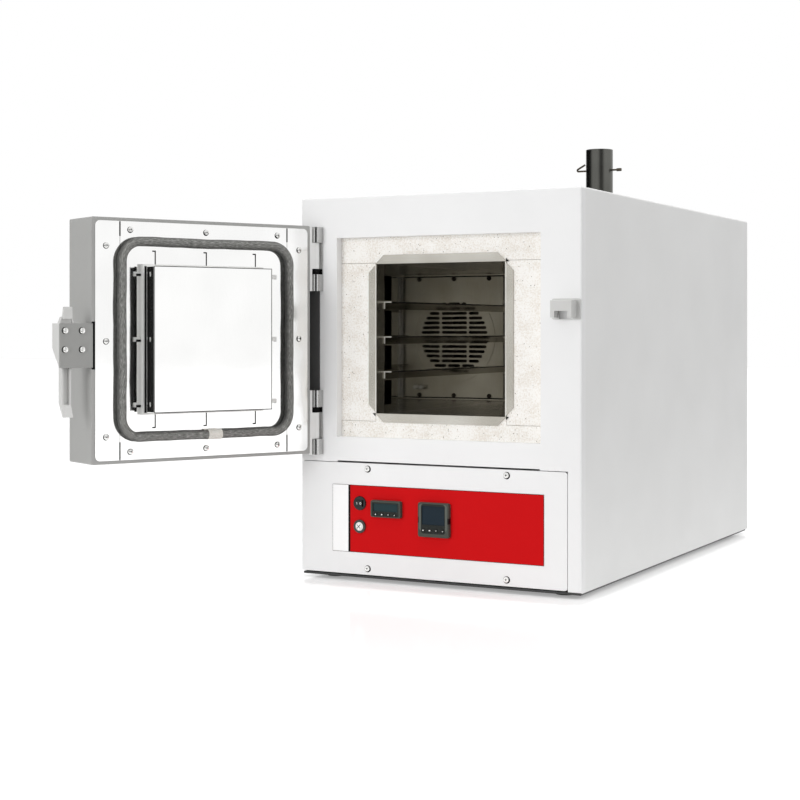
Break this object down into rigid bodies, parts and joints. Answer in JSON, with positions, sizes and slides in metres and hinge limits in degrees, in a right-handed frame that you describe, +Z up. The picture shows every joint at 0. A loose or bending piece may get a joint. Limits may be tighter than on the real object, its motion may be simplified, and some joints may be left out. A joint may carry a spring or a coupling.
{
  "type": "air circulating oven",
  "caption": "Bench-top forced-air laboratory oven with a side-hinged plug door, lever latch, rope gasket, rear fan grille, controls in its base and a flue with a damper on top.",
  "frame": {"origin": "on the bench, at the centre of the cabinet's footprint", "axes": "+X to the right of a person facing the oven, +Y to the back, +Z up"},
  "size_m": [0.6183, 1.1722, 0.6696],
  "materials": {
    "wrap_paint": "pale grey powder coat, fine texture",
    "front_paint": "pale grey powder coat, semi-matt",
    "door_paint": "mid grey powder coat, semi-matt",
    "dark_paint": "dark grey paint",
    "foot_rubber": "matt",
    "panel_screw_nickel": "nickel plated",
    "galvanised_sheet": "galvanised",
    "black_nylon": "moulded",
    "refractory_board": "pressed ceramic fibre board with dark specks",
    "ceramic_fibre": "loose blanket",
    "chamber_stainless": "mill finish with a straw tint",
    "baffle_stainless": "dull, browned by heat",
    "element_sheath": "oxidised",
    "probe_sheath": "drawn",
    "flue_steel": "dull grey",
    "motor_paint": "painted",
    "bearing_steel": "turned",
    "red_fascia_film": "glossy polyester film",
    "black_switch_plastic": "moulded, slightly glossy",
    "lamp_bezel_nickel": "nickel plated",
    "lamp_lens_clear": "clear, faceted",
    "instrument_grey_plastic": "moulded dark grey",
    "instrument_window": "dark smoked window",
    "key_grey_plastic": "moulded",
    "switchgear_plastic": "moulded",
    "hinge_zinc": "grey painted steel",
    "hinge_white": "pale painted steel",
    "dark_strip": "dark strip",
    "die_cast_zinc": "die cast, bright",
    "aluminium_sheet": "mill",
    "spindle_steel": "bright wire",
    "door_stainless": "fine linished",
    "plug_stainless": "bright rolled",
    "gasket_rope": "braided wire-reinforced rope",
    "sleeve_white": "woven glass sleeve",
    "door_screw_steel": "bright",
    "latch_grey_steel": "mid grey powder coat"
  },
  "bodies": {
    "cabinet": {"outer_wrap": "wrap_paint", "front_panel": "front_paint", "base_tray": "dark_paint", "feet": "foot_rubber", "cabinet_screws": "panel_screw_nickel", "divider_plate": "galvanised_sheet", "rear_panel": "wrap_paint", "cable_gland": "black_nylon", "refractory_boards": "refractory_board", "chamber_insulation": "ceramic_fibre", "chamber_liner": "chamber_stainless", "air_guides": "chamber_stainless", "shelf_runners": "chamber_stainless", "rear_baffle": "baffle_stainless", "baffle_screws": "baffle_stainless", "heating_elements": "element_sheath", "thermocouples": "probe_sheath", "bulkhead": "galvanised_sheet", "flue_tube": "flue_steel", "motor": "motor_paint", "shaft_bearing": "bearing_steel", "control_panel": "front_paint", "fascia_label": "red_fascia_film", "power_switch_body": "black_switch_plastic", "lamp_bezel": "lamp_bezel_nickel", "lamp_lens": "lamp_lens_clear", "instrument_cases": "instrument_grey_plastic", "instrument_windows": "instrument_window", "switchgear": "switchgear_plastic", "hinge_cabinet_leaves": "hinge_zinc", "hinge_strip": "dark_strip", "strike": "die_cast_zinc"},
    "fan_rotor": {"impeller": "chamber_stainless", "fan_shaft": "bearing_steel", "cooling_fan": "aluminium_sheet"},
    "damper": {"damper_spindle": "spindle_steel", "damper_disc": "flue_steel"},
    "power_rocker": {"power_rocker": "black_switch_plastic"},
    "door": {"door_shell": "door_paint", "door_insulation": "ceramic_fibre", "door_frame_plates": "door_stainless", "door_inner_panel": "door_stainless", "plug_base": "plug_stainless", "plug_cover": "plug_stainless", "door_gasket": "gasket_rope", "gasket_sleeve": "sleeve_white", "door_screws": "door_screw_steel", "latch_bracket": "latch_grey_steel", "latch_body": "die_cast_zinc", "hinge_door_leaves": "hinge_white"},
    "latch_lever": {"latch_lever": "die_cast_zinc"},
    "latch_bolt": {"latch_bolt": "die_cast_zinc"},
    "limit_key_1": {"limit_key_1": "key_grey_plastic"},
    "limit_key_2": {"limit_key_2": "key_grey_plastic"},
    "limit_key_3": {"limit_key_3": "key_grey_plastic"},
    "limit_key_4": {"limit_key_4": "key_grey_plastic"},
    "control_key_1": {"control_key_1": "key_grey_plastic"},
    "control_key_2": {"control_key_2": "key_grey_plastic"},
    "control_key_3": {"control_key_3": "key_grey_plastic"},
    "control_key_4": {"control_key_4": "key_grey_plastic"}
  },
  "joints": [
    {"name": "door_swing", "type": "hinge", "parent": "cabinet", "child": "door", "pos_m": [-0.1885, -0.403, 0.342], "axis": [0, 0, 1], "range_deg": [-8, 116.2]},
    {"name": "latch_lever_turn", "type": "hinge", "parent": "door", "child": "latch_lever", "pos_m": [-0.37109, -0.74101, 0.3432], "axis": [0.4415, 0.8973, 0], "range_deg": [0, 12]},
    {"name": "latch_bolt_slide", "type": "slide", "parent": "door", "child": "latch_bolt", "axis": [0, 0, -1], "range_m": [0, 0.0052]},
    {"name": "fan_spin", "type": "hinge", "parent": "cabinet", "child": "fan_rotor", "pos_m": [0, 0.2, 0.3449], "axis": [0, 1, 0], "continuous": true},
    {"name": "damper_turn", "type": "hinge", "parent": "cabinet", "child": "damper", "pos_m": [0, 0.24, 0.634], "axis": [1, 0, 0], "range_deg": [0, 90]},
    {"name": "power_press", "type": "hinge", "parent": "cabinet", "child": "power_rocker", "pos_m": [-0.1194, -0.39735, 0.1112], "axis": [0, 0, 1], "range_deg": [0, 16]},
    {"name": "limit_key_1_press", "type": "slide", "parent": "cabinet", "child": "limit_key_1", "axis": [0, 1, 0], "range_m": [0, 0.0006], "stiffness_N_per_m": 1500, "springref_m": -0.0003},
    {"name": "limit_key_2_press", "type": "slide", "parent": "cabinet", "child": "limit_key_2", "axis": [0, 1, 0], "range_m": [0, 0.0006], "stiffness_N_per_m": 1500, "springref_m": -0.0003},
    {"name": "limit_key_3_press", "type": "slide", "parent": "cabinet", "child": "limit_key_3", "axis": [0, 1, 0], "range_m": [0, 0.0006], "stiffness_N_per_m": 1500, "springref_m": -0.0003},
    {"name": "limit_key_4_press", "type": "slide", "parent": "cabinet", "child": "limit_key_4", "axis": [0, 1, 0], "range_m": [0, 0.0006], "stiffness_N_per_m": 1500, "springref_m": -0.0003},
    {"name": "control_key_1_press", "type": "slide", "parent": "cabinet", "child": "control_key_1", "axis": [0, 1, 0], "range_m": [0, 0.0006], "stiffness_N_per_m": 1500, "springref_m": -0.0003},
    {"name": "control_key_2_press", "type": "slide", "parent": "cabinet", "child": "control_key_2", "axis": [0, 1, 0], "range_m": [0, 0.0006], "stiffness_N_per_m": 1500, "springref_m": -0.0003},
    {"name": "control_key_3_press", "type": "slide", "parent": "cabinet", "child": "control_key_3", "axis": [0, 1, 0], "range_m": [0, 0.0006], "stiffness_N_per_m": 1500, "springref_m": -0.0003},
    {"name": "control_key_4_press", "type": "slide", "parent": "cabinet", "child": "control_key_4", "axis": [0, 1, 0], "range_m": [0, 0.0006], "stiffness_N_per_m": 1500, "springref_m": -0.0003}
  ],
  "couplings": [
    {"joint": "latch_bolt_slide", "follows": "latch_lever_turn", "m_per_rad": 0.024828}
  ]
}
